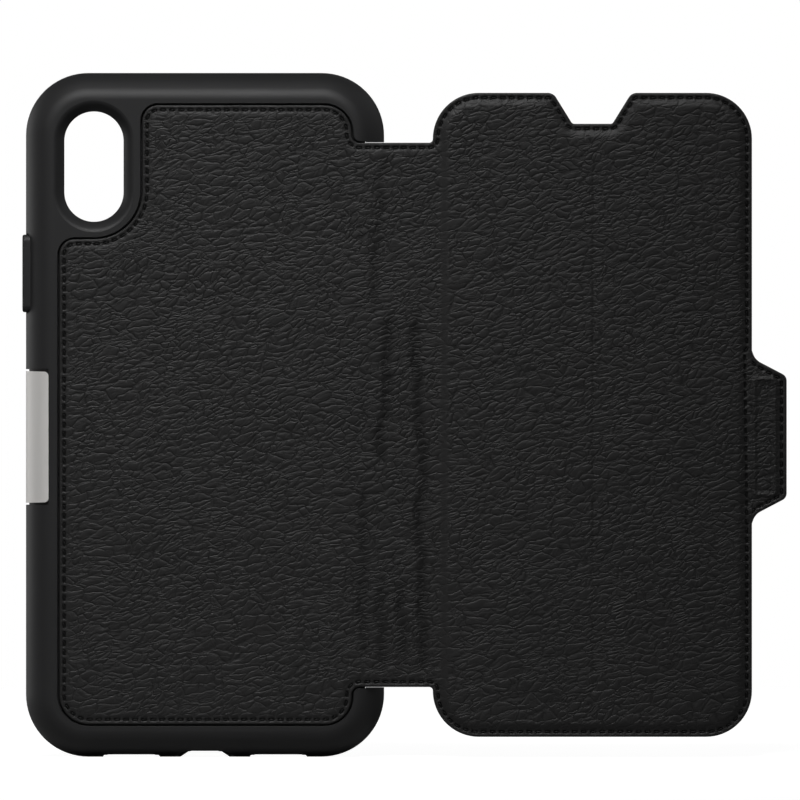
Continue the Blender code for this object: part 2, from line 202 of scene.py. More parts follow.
def rounded(corners):
    """The closed outline through corners (u, v, radius), each turned by an arc of its radius."""
    points = []
    for i, (u, v, radius) in enumerate(corners):
        corner = Vector((u, v))
        if radius == 0:
            points.append(corner)
            continue
        before = (Vector(corners[i - 1][:2]) - corner).normalized()
        after = (Vector(corners[(i + 1) % len(corners)][:2]) - corner).normalized()
        half = before.angle(after) / 2
        centre = corner + (before + after).normalized() * radius / math.sin(half)
        start = corner + before * radius / math.tan(half) - centre
        end = corner + after * radius / math.tan(half) - centre
        first = math.atan2(start.y, start.x)
        turn = math.remainder(math.atan2(end.y, end.x) - first, 2 * math.pi)
        steps = max(2, round(abs(turn) / ARC_STEP))
        for k in range(steps + 1):
            angle = first + turn * k / steps
            points.append(centre + radius * Vector((math.cos(angle), math.sin(angle))))
    return points


def rounded_box(u, v, half_u, half_v, radius):
    signs = ((-1, -1), (1, -1), (1, 1), (-1, 1))
    return rounded([(u + a * half_u, v + b * half_v, min(radius, 0.999 * half_u)) for a, b in signs])


def quarter(count):
    return [math.pi / 2 * k / count for k in range(count + 1)]


def closed(name, edit):
    """Makes a tidy object of an edited mesh: points joined, faces outwards."""
    bmesh.ops.remove_doubles(edit, verts=edit.verts, dist=1e-7)
    bmesh.ops.recalc_face_normals(edit, faces=edit.faces)
    mesh = bpy.data.meshes.new(name)
    edit.to_mesh(mesh)
    edit.free()
    piece = bpy.data.objects.new(name, mesh)
    bpy.context.scene.collection.objects.link(piece)
    return piece


AXES = {
    "X": lambda u, v, depth: (depth, u, v),
    "Y": lambda u, v, depth: (u, depth, v),
    "Z": lambda u, v, depth: (u, v, depth),
}


def loft(name, rings, axis="Y"):
    """A closed body through rings (depth, outline) of as many points each."""
    edit = bmesh.new()
    loops = [[edit.verts.new(AXES[axis](u, v, depth)) for u, v in line] for depth, line in rings]
    for lower, upper in zip(loops, loops[1:]):
        for k in range(len(lower)):
            edit.faces.new((lower[k - 1], lower[k], upper[k], upper[k - 1]))
    edit.faces.new(loops[0])
    edit.faces.new(loops[-1])
    return closed(name, edit)


def block(name, outline, axis, low, high):
    return loft(name, [(low, outline), (high, outline)], axis)


def cut(piece, cutter, operation="DIFFERENCE"):
    step = piece.modifiers.new(cutter.name, "BOOLEAN")
    step.operation, step.object, step.solver = operation, cutter, "EXACT"
    cutters.append(cutter)


def settle(piece):
    """Applies a piece's modifiers, and removes the cutters that were used on it."""
    graph = bpy.context.evaluated_depsgraph_get()
    mesh = bpy.data.meshes.new_from_object(piece.evaluated_get(graph))
    piece.modifiers.clear()
    old, piece.data = piece.data, mesh
    bpy.data.meshes.remove(old)
    for cutter in cutters:
        bpy.data.objects.remove(cutter)
    cutters.clear()


def panel_corners(grow):
    """Corners of the leather let into the back, without its spine side."""
    side, edge, flare = 33.96 * MM + grow, SPINE_EDGE + grow, 1.8 * MM - grow
    top, free_side = 71.27 * MM + grow, -33.43 * MM - grow
    camera_side, under_camera = -14.34 * MM - grow, 40.46 * MM + grow
    outer = 6.44 * MM + grow
    upper = [(camera_side, top, 3.7 * MM + grow), (side, top, outer), (side, edge, flare)]
    lower = [
        (side, -edge, flare),
        (side, -top, outer),
        (free_side, -top, 6.9 * MM + grow),
        (free_side, under_camera, 3.7 * MM + grow),
        (camera_side, under_camera, 11.04 * MM - grow),
    ]
    return upper, lower


def tray_ring(inset):
    half_width, half_height = TRAY_HALF
    return rounded_box(0, 0, half_width - inset, half_height - inset, TRAY_CORNER - inset)


def phone_ring(inset):
    half_width, half_height = PHONE_HALF
    return rounded_box(0, 0, half_width - inset, half_height - inset, PHONE_CORNER - inset)


def recess_ring(grow):
    upper, lower = panel_corners(grow)
    end, edge = OPEN_SIDE[0] + 5 * MM, SPINE_EDGE + grow
    return rounded([*upper, (end, edge, 0), (end, -edge, 0), *lower])


def pill_ring(grow):
    u, v, half_width, half_height = CAMERA_PILL
    return rounded_box(u, v, half_width + grow, half_height + grow, half_width + grow)


def shoulder(start, depth=0.0):
    """The rim's outer surface from the back round to its full width, as (Y, inset) points,
    sunk in by depth: a tight crest beside the flat back, then one long curve."""
    side_round = (CREST_WIDTH - CREST_ROUND * math.sin(CREST_TURN)) / (1 - math.sin(CREST_TURN))
    fall = CREST_ROUND * (1 - math.cos(CREST_TURN))
    points = []
    for k in range(25):
        turn = start + (math.pi / 2 - start) * k / 24
        if turn < CREST_TURN:
            inset = CREST_WIDTH - CREST_ROUND * math.sin(turn)
            down = CREST_ROUND * (1 - math.cos(turn))
        else:
            inset = side_round * (1 - math.sin(turn))
            down = fall + side_round * (math.cos(CREST_TURN) - math.cos(turn))
        points.append((TRAY_BACK + down + depth * math.cos(turn), inset + depth * math.sin(turn)))
    return points


cutters = []
rings = [(y, tray_ring(inset)) for y, inset in shoulder(0)]
rings += [
    (TRAY_FRONT - LIP_ROUND * (1 - math.sin(a)), tray_ring(LIP_ROUND * (1 - math.cos(a))))
    for a in quarter(8)
]
tray = loft("tray", rings)
hollow = [
    (FLOOR_FILLET * (1 - math.sin(a)), phone_ring(FLOOR_FILLET * (1 - math.cos(a))))
    for a in quarter(6)[::-1]
]
hollow += [
    (LIP_START, phone_ring(0)),
    (LIP_END, phone_ring(LIP_OVERHANG)),
    (TRAY_FRONT - 0.25 * MM, phone_ring(LIP_OVERHANG)),
    (TRAY_FRONT + 0.05 * MM, phone_ring(LIP_OVERHANG - 0.3 * MM)),
    (TRAY_FRONT + 1 * MM, phone_ring(LIP_OVERHANG - 0.3 * MM)),
]
cut(tray, loft("hollow", hollow))
left, half = OPEN_SIDE
cut(tray, block("open_side", rounded_box(left + 5 * MM, 0, 5 * MM, half, 0), "Y", -5 * MM, 12 * MM))
recess = [(RECESS_FLOOR, 0), (TRAY_BACK + 0.2 * MM, 0), (TRAY_BACK - 0.05 * MM, 0.2), (-5 * MM, 0.2)]
cut(tray, loft("recess", [(y, recess_ring(RECESS_GROW + grow * MM)) for y, grow in recess]))
cut(tray, block("camera_hole", pill_ring(0), "Y", -5 * MM, 1 * MM))
DISH = ((-4.0, 2.5), (-3.02, 2.5), (-2.93, 2.36), (-2.91, 2.24), (-2.85, 2.05), (-2.72, 1.8))
DISH += ((-2.44, 1.5), (-2.03, 1.12), (-1.56, 0.75), (-1.02, 0.4), (-0.7, 0.2), (-0.4, 0.02))
dish = [(y * MM, pill_ring(wider * MM)) for y, wider in DISH]
cut(tray, loft("camera_dish", dish))
foot = -TRAY_HALF[1]
port = rounded_box(0, 4.15 * MM, 6.6 * MM, 3.3 * MM, 3.2 * MM)
cut(tray, block("port", port, "Z", foot - 1 * MM, foot + 6 * MM))
port_dip = [
    (-8.0 * MM, foot - 1.5 * MM, 0),
    (-3.3 * MM, foot + 1.5 * MM, 1.5 * MM),
    (3.3 * MM, foot + 1.5 * MM, 1.5 * MM),
    (8.0 * MM, foot - 1.5 * MM, 0),
]
cut(tray, block("port_dip", rounded(port_dip), "Y", -5 * MM, 12 * MM))
for side in (-1, 1):
    middle = side * 16.95 * MM
    slot = rounded_box(middle, 4.15 * MM, 5.9 * MM, 2.5 * MM, 2.4 * MM)
    cut(tray, block(f"speaker_{side}", slot, "Z", foot - 1 * MM, foot + 6 * MM))
    dip = rounded_box(middle, foot, 6.55 * MM, 0.5 * MM, 0.45 * MM)
    cut(tray, block(f"speaker_dip_{side}", dip, "Y", -5 * MM, 12 * MM))
key_low, key_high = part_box("side_key_cover")
KEY_Y, KEY_Z = 3.9 * MM, 32.6 * MM
KEY_HALF = (2.4 * MM, 8.95 * MM)
slot = rounded_box(KEY_Y, KEY_Z, KEY_HALF[0] + 0.3 * MM, KEY_HALF[1] + 0.3 * MM, 1.9 * MM)
cut(tray, block("key_slot", slot, "X", -45 * MM, -37 * MM))
seat = rounded_box(KEY_Y, KEY_Z, KEY_HALF[0] + 1.2 * MM, KEY_HALF[1] + 1.2 * MM, 1.0 * MM)
cut(tray, block("key_seat", seat, "X", -39.6 * MM, -36.5 * MM))


def rim_line(depth):
    """The rim's outer surface on the free side, in X and Y, sunk into the rim by depth."""
    lip = (-TRAY_HALF[0] + LIP_ROUND, TRAY_FRONT - LIP_ROUND)
    line = [(-TRAY_HALF[0] + inset, y) for y, inset in shoulder(math.radians(12.7), depth)]
    line += [
        (lip[0] - (LIP_ROUND - depth) * math.cos(a), lip[1] + (LIP_ROUND - depth) * math.sin(a))
        for a in quarter(8)
    ]
    return line + [(-37.6 * MM, TRAY_FRONT - depth)]


plate_low, plate_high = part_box("latch_plate")
seat = rim_line(-1 * MM) + rim_line(0.75 * MM)[::-1]
cut(tray, block("plate_seat", seat, "Z", plate_low.z - 0.3 * MM, plate_high.z + 0.3 * MM))
tray.data.shade_smooth()
settle(tray)
tray.data.set_sharp_from_angle(angle=math.radians(35))
smooth = tray.modifiers.new("flat faces stay flat", "WEIGHTED_NORMAL")
smooth.keep_sharp = True
settle(tray)

# Black polycarbonate, moulded in a finely blasted tool: dense black with a satin sheen,
# broken up by a texture of about 0.12 mm and by broad faint differences in gloss.
material, tree, output = new_material("black polycarbonate, satin moulded")
place = add(tree, "ShaderNodeTexCoord")
grit = add(tree, "ShaderNodeTexNoise", {"Vector": place.outputs["Object"], "Scale": 8000.0, "Detail": 2.0})
clouds = add(tree, "ShaderNodeTexNoise", {"Vector": place.outputs["Object"], "Scale": 60.0, "Detail": 3.0})
gloss = add(tree, "ShaderNodeMapRange", {0: clouds.outputs[0], 3: 0.54, 4: 0.62})
bump = add(tree, "ShaderNodeBump", {"Height": grit.outputs[0], "Distance": 0.00001, "Strength": 0.5})
plastic = add(
    tree,
    "ShaderNodeBsdfPrincipled",
    {
        "Base Color": linear("#19191a"),
        "Roughness": gloss.outputs[0],
        "IOR": 1.5,
        "Normal": bump.outputs[0],
    },
)
tree.links.new(plastic.outputs[0], output.inputs[0])
polycarbonate = material
tray.data.materials.clear()
tray.data.materials.append(polycarbonate)
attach(tray, "tray")
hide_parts("tray_shell")

# ---------------------------------------------------------------------------------------
# The latch plate: 0.5 mm steel formed round the rim, flush in its seat, satin finished. The
# side key: a cover of the tray's own polycarbonate that stands 0.7 mm out of its slot.

plate = block("plate", rim_line(0) + rim_line(0.5 * MM)[::-1], "Z", plate_low.z, plate_high.z)
wing = [
    (-45 * MM, plate_low.z + 0.02 * MM, 0),
    (-35.85 * MM, plate_low.z + 0.35 * MM, 1.0 * MM),
    (-35.85 * MM, plate_high.z - 0.35 * MM, 1.0 * MM),
    (-45 * MM, plate_high.z - 0.02 * MM, 0),
]
cut(plate, block("wing_shape", rounded(wing), "Y", -5 * MM, 12 * MM), "INTERSECT")
plate.data.shade_smooth()
settle(plate)
plate.data.set_sharp_from_angle(angle=math.radians(35))

# Stainless steel brushed along its length: bright, with fine long scratches.
material, tree, output = new_material("stainless steel, satin brushed")
place = add(tree, "ShaderNodeTexCoord")
stretch = add(tree, "ShaderNodeMapping", {"Vector": place.outputs["Object"], "Scale": (9000, 9000, 150)})
lines = add(tree, "ShaderNodeTexNoise", {"Vector": stretch.outputs[0], "Scale": 1.0, "Detail": 3.0})
gloss = add(tree, "ShaderNodeMapRange", {0: lines.outputs[0], 3: 0.5, 4: 0.64})
bump = add(tree, "ShaderNodeBump", {"Height": lines.outputs[0], "Distance": 0.000004, "Strength": 0.4})
steel = add(
    tree,
    "ShaderNodeBsdfPrincipled",
    {
        "Base Color": linear("#efedea"),
        "Metallic": 0.5,
        "Roughness": gloss.outputs[0],
        "Normal": bump.outputs[0],
    },
)
tree.links.new(steel.outputs[0], output.inputs[0])
plate.data.materials.clear()
plate.data.materials.append(material)
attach(plate, "tray")
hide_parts("latch_plate")

key_rings = [
    (key_high.x, rounded_box(KEY_Y, KEY_Z, 3.3 * MM, 9.85 * MM, 0.8 * MM)),
    (-39.3 * MM, rounded_box(KEY_Y, KEY_Z, 3.3 * MM, 9.85 * MM, 0.8 * MM)),
]
flange = loft("key_flange", key_rings, "X")
edge = 0.45 * MM
head = [(-39.5 * MM, rounded_box(KEY_Y, KEY_Z, *KEY_HALF, 1.6 * MM))]
head += [
    (
        key_low.x + edge * (1 - math.sin(a)),
        rounded_box(
            KEY_Y,
            KEY_Z,
            KEY_HALF[0] - edge * (1 - math.cos(a)),
            KEY_HALF[1] - edge * (1 - math.cos(a)),
            1.6 * MM - edge * (1 - math.cos(a)),
        ),
    )
    for a in quarter(5)
]
key = loft("side_key", head, "X")
cut(key, flange, "UNION")
key.data.shade_smooth()
settle(key)
key.data.set_sharp_from_angle(angle=math.radians(35))
key.data.materials.clear()
key.data.materials.append(polycarbonate)
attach(key, "key")
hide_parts("side_key_cover")

# ---------------------------------------------------------------------------------------
# The leather's outer skins. One piece runs from the recess in the tray's back over the first
# fold to the middle of the spine, one from there over the second fold and the whole cover,
# and one is the tab. They meet edge to edge, so that the hide looks whole.

LEATHER_FACE = -2.8 * MM
SPINE_MIDDLE = 44.8 * MM
COVER_SIDES = (52.55 * MM, 125.96 * MM)
COVER_HALF, COVER_CORNER = 74.07 * MM, 10.55 * MM
LATCH_Z = -5.1 * MM
TAB_ROOT = 19.9 * MM
STITCH_INSET, STITCH_PITCH = 1.18 * MM, 2.09 * MM
COVER_PADDING, STITCH_GROOVE, TAB_RIDGE = 0.42 * MM, 0.05 * MM, 0.28 * MM
POCKET_MOUTH = 89.6 * MM
TAB_INNER_FACE = -0.42 * MM
GRAIN_RISE = -0.06 * MM


def smoothstep(low, high, values):
    t = np.clip((values - low) / (high - low), 0, 1)
    return t * t * (3 - 2 * t)


def fine(outline, step):
    """The outline with its long sides divided, as an array of points."""
    points = []
    for i, end in enumerate(outline):
        start = outline[i - 1]
        count = max(1, math.ceil((Vector(end) - Vector(start)).length / step - 1e-6))
        points += [Vector(start).lerp(Vector(end), k / count) for k in range(count)]
    return np.array(points)


def inner_line(points, on_seam, inset):
    """The line at an inset from the outline's free edge, from one end of the seam round to
    the other. The outline's points run clockwise or not, and the seam is one stretch."""
    count = len(points)
    x, z = points.T
    turn = np.sign(np.sum(x * np.roll(z, -1) - z * np.roll(x, -1)))
    along = np.roll(points, -1, axis=0) - points
    along /= np.linalg.norm(along, axis=1)[:, None]
    normal = turn * np.stack([-along[:, 1], along[:, 0]], axis=1)
    seam_side = on_seam & np.roll(on_seam, -1)
    free = np.where(seam_side[:, None], 0, normal)
    normals = free + np.roll(free, 1, axis=0)
    length = np.linalg.norm(normals, axis=1)
    kept = np.flatnonzero(length > 0)
    if seam_side.any():
        first = next(i for i in range(count) if seam_side[i - 1] and not seam_side[i])
        order = [(first + k) % count for k in range(count)]
        kept = np.array([k for k in order if length[k] > 0])
    unit = normals[kept] / length[kept][:, None]
    facing = np.where(length[kept][:, None] > 0, free[kept] + 1e-12, 0)
    spread = np.maximum(np.sum(unit * facing, axis=1), 0.7)
    return points[kept] + unit * inset / np.clip(spread, 0.7, 1)[:, None]


def nearest(points, line):
    """For each point, the distance to the closest of the line's points, and which it is."""
    tree = KDTree(len(line))
    for i, (x, z) in enumerate(line):
        tree.insert((x, z, 0), i)
    tree.balance()
    found = [tree.find((x, z, 0)) for x, z in points]
    return np.array([f[2] for f in found]), np.array([f[1] for f in found])


SLOT_LENGTH, SLOT_WIDTH, SLOT_DEPTH = 1.3 * MM, 0.66 * MM, 0.17 * MM


def in_slot(along, across):
    """How much a place lies in a stitch's slot, from its distances along and across it."""
    reach = (2 * along / SLOT_LENGTH) ** 4 + (2 * across / SLOT_WIDTH) ** 4
    return 1 - smoothstep(0.4, 2.2, reach)


# Soft creases that the spine takes from opening and closing: places down each one in X and Z
# (mm), with its depth.
CREASES = (
    (((41.8, 61), (39.9, 42.5), (39.0, 26), (39.2, 22)), 0.22),
    (((42.5, 24), (41.5, 0), (40.9, -4), (40.2, -14)), 0.34),
    (((36.9, -16), (36.6, -29), (36.3, -40), (36.6, -58)), 0.24),
    (((48.6, 24), (49.1, 0), (50.4, -6), (50.4, -15), (49.4, -24), (50.3, -42), (50.0, -61)), 0.34),
    (((45.3, -38), (45.5, -61)), 0.26),
    (((40.7, -38), (40.9, -61)), 0.28),
)


def crease_depths(x, z):
    """How deep the creases are at each place, in metres."""
    total = np.zeros(len(x))
    for places, depth in CREASES:
        line_x, line_z = np.array(places).T * MM
        wave = 0.35 * MM * np.sin(z / (3.1 * MM)) + 0.2 * MM * np.sin(z / (1.3 * MM) + 2)
        across = x - np.interp(-z, -line_z, line_x) - wave
        ends = smoothstep(line_z[-1] - 1 * MM, line_z[-1] + 5 * MM, z)
        ends = ends * (1 - smoothstep(line_z[0] - 5 * MM, line_z[0] + 1 * MM, z))
        total += depth * MM * ends * np.exp(-((across / (1.05 * MM)) ** 2))
    return total


# The spine's crease depth from 0 to 1, which the leather material turns into painted shade.
def fold_shade(x, z):
    return np.clip(crease_depths(x, z) / (0.34 * MM), 0, 1)


def smooth_band(x):
    """1 in the band beside the cover's fold where the board's edge has pressed the grain flat."""
    return smoothstep(53.9 * MM, 54.9 * MM, x) * (1 - smoothstep(55.7 * MM, 56.7 * MM, x))


def skin(name, outline, seam, surface, foot, unstitched=None, grid=0.42 * MM):
    """A sheet over an outline in X and Z. surface(x, z, d) gives its Y at a distance d from
    the free edge, and foot(x, z) the Y where its side ends. Where seam(x, z) holds it runs on
    into another sheet and has no side. It returns the sheet and the places of its stitches."""
    edge = fine(outline, min(grid, 0.32 * MM))
    dense = fine(edge, 0.1 * MM)
    free = dense[~seam(*dense.T)]
    path = inner_line(edge, (unstitched or seam)(*edge.T), STITCH_INSET)
    path = np.concatenate(
        [
            np.linspace(
                start, end, max(1, round(np.linalg.norm(end - start) / (0.1 * MM))), endpoint=False
            )
            for start, end in zip(path, path[1:])
        ]
    )
    run = np.concatenate([[0], np.cumsum(np.linalg.norm(np.diff(path, axis=0), axis=1))])
    count = round(run[-1] / STITCH_PITCH)

    insets = [inset * MM for inset in (0.08, 0.2, 0.4, 0.65, 0.86, 1.02, 1.18, 1.34, 1.5)]
    rings = [inner_line(edge, seam(*edge.T), inset) for inset in insets]
    wanted = np.repeat(insets, [len(ring) for ring in rings])
    rings = np.concatenate(rings)
    rings = rings[nearest(rings, free)[0] > 0.9 * wanted]
    low, high = edge.min(axis=0), edge.max(axis=0)
    rows = np.arange(low[1], high[1], grid * math.sqrt(3) / 2)
    columns = np.arange(low[0], high[0], grid)
    inside = np.array([(x + grid * (i % 2) / 2, z) for i, z in enumerate(rows) for x in columns])
    apart = nearest(inside, free)[0] > insets[-1] + 0.15 * MM
    inside = inside[apart & (nearest(inside, edge)[0] > 0.5 * grid)]
    places = [Vector(place) / MM for place in np.concatenate([edge, rings, inside])]
    flat, _, triangles, *_ = delaunay_2d_cdt(places, [], [list(range(len(edge)))], 1, 1e-4)
    flat = np.array(flat) * MM
    from_edge = nearest(flat, free)[0]
    to_path, closest = nearest(flat, path)
    turns = run[closest] / run[-1] * count
    inward = np.sign(foot(*flat.mean(axis=0)) - surface(*flat.T, from_edge).mean())
    y = surface(*flat.T, from_edge)
    y = y + inward * SLOT_DEPTH * in_slot(np.abs(turns % 1 - 0.5) * STITCH_PITCH, to_path)

    edit = bmesh.new()
    tops = [edit.verts.new((x, depth, z)) for (x, z), depth in zip(flat, y)]
    for corners in triangles:
        edit.faces.new([tops[k] for k in corners])
    feet = {}
    for side in [e for e in edit.edges if len(e.link_faces) == 1]:
        middle = (side.verts[0].co + side.verts[1].co) / 2
        if seam(np.array([middle.x]), np.array([middle.z]))[0]:
            continue
        for v in side.verts:
            if v not in feet:
                feet[v] = edit.verts.new((v.co.x, foot(v.co.x, v.co.z), v.co.z))
        start, end = side.verts
        edit.faces.new((start, end, feet[end], feet[start]))
    bmesh.ops.recalc_face_normals(edit, faces=edit.faces)
    edit.verts.index_update()
    flattest = max(edit.faces, key=lambda face: abs(face.normal.y))
    if flattest.normal.y * inward > 0:
        bmesh.ops.reverse_faces(edit, faces=edit.faces)
    owner = [*range(len(tops)), *(v.index for v in feet)]
    mesh = bpy.data.meshes.new(name)
    edit.to_mesh(mesh)
    edit.free()
    mesh.shade_smooth()
    rest = np.empty(len(mesh.vertices) * 3, np.float32)
    mesh.vertices.foreach_get("co", rest)
    # The third value is the spine's crease depth, which drives painted shade in the leather's colour.
    seams = np.stack([turns, to_path / MM, fold_shade(*flat.T)], axis=1)
    for attribute, values in (("rest_place", rest), ("stitch_place_and_fold_shade", seams[owner].ravel())):
        data = mesh.attributes.new(attribute, "FLOAT_VECTOR", "POINT").data
        data.foreach_set("vector", values.astype(np.float32))
    share = np.zeros(len(mesh.vertices), np.float32)
    share[: len(flat)] = smoothstep(0.1 * MM, 0.7 * MM, from_edge) * (1 - 0.7 * smooth_band(flat[:, 0]))
    share[: len(flat)] *= 0.45 + 0.55 * smoothstep(1.6 * MM, 3.3 * MM, from_edge)
    mesh.attributes.new("edge_share", "FLOAT", "POINT").data.foreach_set("value", share)
    piece = bpy.data.objects.new(name, mesh)
    bpy.context.scene.collection.objects.link(piece)

    middles = (np.arange(count) + 0.5) / count * run[-1]
    x, z = (np.interp(middles, run, path[:, k]) for k in (0, 1))
    ahead = [np.interp(middles + 0.3 * MM, run, path[:, k]) for k in (0, 1)]
    behind = [np.interp(middles - 0.3 * MM, run, path[:, k]) for k in (0, 1)]
    depth = surface(x, z, np.full(count, STITCH_INSET))
    return piece, (np.stack([x, depth, z], axis=1), np.subtract(ahead, behind).T)


def rolled(d, radius=0.35 * MM):
    """How far a rolled edge falls away at a distance d from the edge."""
    t = np.clip(1 - d / radius, 0, 1)
    return radius * (1 - np.sqrt(np.maximum(1 - t * t, 0)))


def leather_surface(x, z, d):
    """The outer skin: rolled edge, flat stitched border, a cover padded by its board, the
    spine's creases and the pressed line over the card pocket's mouth."""
    height = -rolled(d)
    height += 0.06 * MM * smoothstep(1.5 * MM, 2.7 * MM, d)
    padded = np.minimum(d, np.minimum(x - COVER_SIDES[0] - 0.3 * MM, COVER_SIDES[1] - x))
    height += COVER_PADDING * smoothstep(1.3 * MM, 3.2 * MM, padded)
    height -= STITCH_GROOVE * np.exp(-(((d - STITCH_INSET) / (0.5 * MM)) ** 2))
    height -= crease_depths(x, z)
    line = np.exp(-(((x - POCKET_MOUTH) / (0.36 * MM)) ** 2))
    line = line * smoothstep(-64.6 * MM, -63.8 * MM, z) * (1 - smoothstep(57.4 * MM, 58.2 * MM, z))
    height -= 0.2 * MM * line
    return LEATHER_FACE - height


def tab_surface(x, z, d):
    """The tab's skin: rolled edge, a ridge round the magnet inside it, and its stitching."""
    height = -rolled(d)
    height -= 0.08 * MM * np.exp(-(((d - STITCH_INSET) / (0.3 * MM)) ** 2))
    across = np.abs(x - 128.9 * MM) - 2.4 * MM
    up = np.abs(z - LATCH_Z) - 13.3 * MM
    outside = np.hypot(np.maximum(across + 0.7 * MM, 0), np.maximum(up + 0.7 * MM, 0)) - 0.7 * MM
    box = outside + np.minimum(np.maximum(across + 0.7 * MM, up + 0.7 * MM), 0)
    height += TAB_RIDGE * np.exp(-((box / (0.45 * MM)) ** 2))
    height += 0.04 * MM * (1 - smoothstep(-0.4 * MM, 0.4 * MM, box))
    return LEATHER_FACE - height


def wall_foot(x, z):
    """Where the leather's side ends: at the spine's lining, and lower at the cover's."""
    t = min(max((x - 52.3 * MM) / (2 * MM), 0), 1)
    return -1.66 * MM + 1.05 * MM * t * t * (3 - 2 * t)


upper, lower = panel_corners(0)
panel_shape = rounded([*upper, (SPINE_MIDDLE, SPINE_EDGE, 0), (SPINE_MIDDLE, -SPINE_EDGE, 0), *lower])


def cover_corners(left, inset=0.0):
    """The cover's corners in order, from its top left round to its bottom left."""
    middle = sum(COVER_SIDES) / 2
    right, top, foot = COVER_SIDES[1] - inset, COVER_HALF - inset, 66.95 * MM - inset
    wide, narrow, corner = 9.0 * MM + inset / 2, 4.6 * MM + inset / 2, COVER_CORNER - inset
    return [
        (left, top, corner),
        (middle - wide, top, 2.3 * MM),
        (middle - narrow, foot, 0.9 * MM),
        (middle + narrow, foot, 0.9 * MM),
        (middle + wide, top, 2.3 * MM),
        (right, top, corner),
        (right, LATCH_Z + TAB_ROOT, 0),
        (right, LATCH_Z - TAB_ROOT, 0),
        (right, -top, corner),
        (left, -top, corner),
    ]


fillet = 0.85 * MM
spine_start = (SPINE_MIDDLE, SPINE_EDGE, 0)
cover_shape = rounded(
    [
        (SPINE_MIDDLE, -SPINE_EDGE, 0),
        spine_start,
        (COVER_SIDES[0], SPINE_EDGE, fillet),
        *cover_corners(COVER_SIDES[0]),
        (COVER_SIDES[0], -SPINE_EDGE, fillet),
    ]
)
tab_corners = [
    (COVER_SIDES[1], TAB_ROOT, 0),
    (126.7 * MM, 17.8 * MM, 3.6 * MM),
    (133.95 * MM, 14.0 * MM, 1.8 * MM),
]
tab_corners += [(x, -z, radius) for x, z, radius in tab_corners[::-1]]
tab_shape = rounded([(x, z + LATCH_Z, radius) for x, z, radius in tab_corners])


def at_spine_middle(x, z):
    return np.abs(x - SPINE_MIDDLE) < 1e-6


def at_tab_root(x, z):
    return (np.abs(x - COVER_SIDES[1]) < 1e-6) & (np.abs(z - LATCH_Z) < TAB_ROOT + 1e-6)


def at_either(x, z):
    return at_spine_middle(x, z) | at_tab_root(x, z)


panel_leather, panel_stitches = skin(
    "panel_leather", panel_shape, at_spine_middle, leather_surface, wall_foot
)
cover_leather, cover_stitches = skin(
    "cover_leather_skin", cover_shape, at_either, leather_surface, wall_foot
)
tab_leather, tab_stitches = skin(
    "tab_leather_skin",
    tab_shape,
    at_tab_root,
    tab_surface,
    lambda x, z: TAB_INNER_FACE,
    grid=0.3 * MM,
)


def grain(tree, place):
    """The embossed grain as a height from 0 to 1: long pebbles that rise a little to the
    right, small ones among them, and a few long wrinkles across. It serves both the
    material and the shape."""

    def math_node(kind, first, second):
        return add(tree, "ShaderNodeMath", {0: first, 1: second}, operation=kind).outputs[0]

    def pushed(vector, scale, reach):
        noise = add(tree, "ShaderNodeTexNoise", {"Vector": vector, "Scale": scale, "Detail": 1.0})
        centred = add(
            tree,
            "ShaderNodeVectorMath",
            {0: noise.outputs["Color"], 1: (0.5, 0.5, 0.5)},
            operation="SUBTRACT",
        )
        push = add(tree, "ShaderNodeVectorMath", {0: centred.outputs[0], "Scale": reach}, operation="SCALE")
        return add(tree, "ShaderNodeVectorMath", {0: vector, 1: push.outputs[0]}, operation="ADD").outputs[0]

    def cells(vector, angle, length, width):
        turned = add(
            tree,
            "ShaderNodeVectorRotate",
            {"Vector": vector, "Angle": math.radians(angle)},
            rotation_type="Y_AXIS",
        )
        size = (1 / length, 0.0, 1 / width)
        scaled = add(tree, "ShaderNodeVectorMath", {0: turned.outputs[0], 1: size}, operation="MULTIPLY")
        found = add(
            tree,
            "ShaderNodeTexVoronoi",
            {"Vector": scaled.outputs[0], "Scale": 1.0},
            feature="DISTANCE_TO_EDGE",
        )
        return found.outputs["Distance"]

    def dome(distance, edge):
        rim = add(tree, "ShaderNodeMapRange", {0: distance, 2: edge}).outputs[0]
        sunk = math_node("SUBTRACT", 1.0, rim)
        return math_node("SUBTRACT", 1.0, math_node("MULTIPLY", sunk, sunk))

    def pillow(distance, crease):
        crisp = math_node("MULTIPLY", dome(distance, crease), 0.7)
        return math_node("ADD", crisp, math_node("MULTIPLY", dome(distance, 0.5), 0.3))

    bent = pushed(pushed(pushed(place, 60.0, 0.004), 340.0, 0.0015), 1000.0, 0.00045)
    large = cells(bent, 12, 4.6 * MM, 1.9 * MM)
    small = cells(bent, 24, 2.5 * MM, 1.15 * MM)
    wrinkle = cells(bent, 31, 10.0 * MM, 3.6 * MM)
    patch = add(tree, "ShaderNodeTexNoise", {"Vector": place, "Scale": 190.0, "Detail": 1.0})
    share = add(tree, "ShaderNodeMapRange", {0: patch.outputs[0], 1: 0.42, 2: 0.58, 3: 0.2, 4: 0.85})
    pebble = add(
        tree,
        "ShaderNodeMix",
        {0: share.outputs[0], 2: pillow(large, 0.12), 3: pillow(small, 0.17)},
        data_type="FLOAT",
    ).outputs[0]
    long_wrinkles = math_node("ADD", math_node("MULTIPLY", dome(wrinkle, 0.07), 0.35), 0.65)
    return math_node("MULTIPLY", pebble, long_wrinkles)
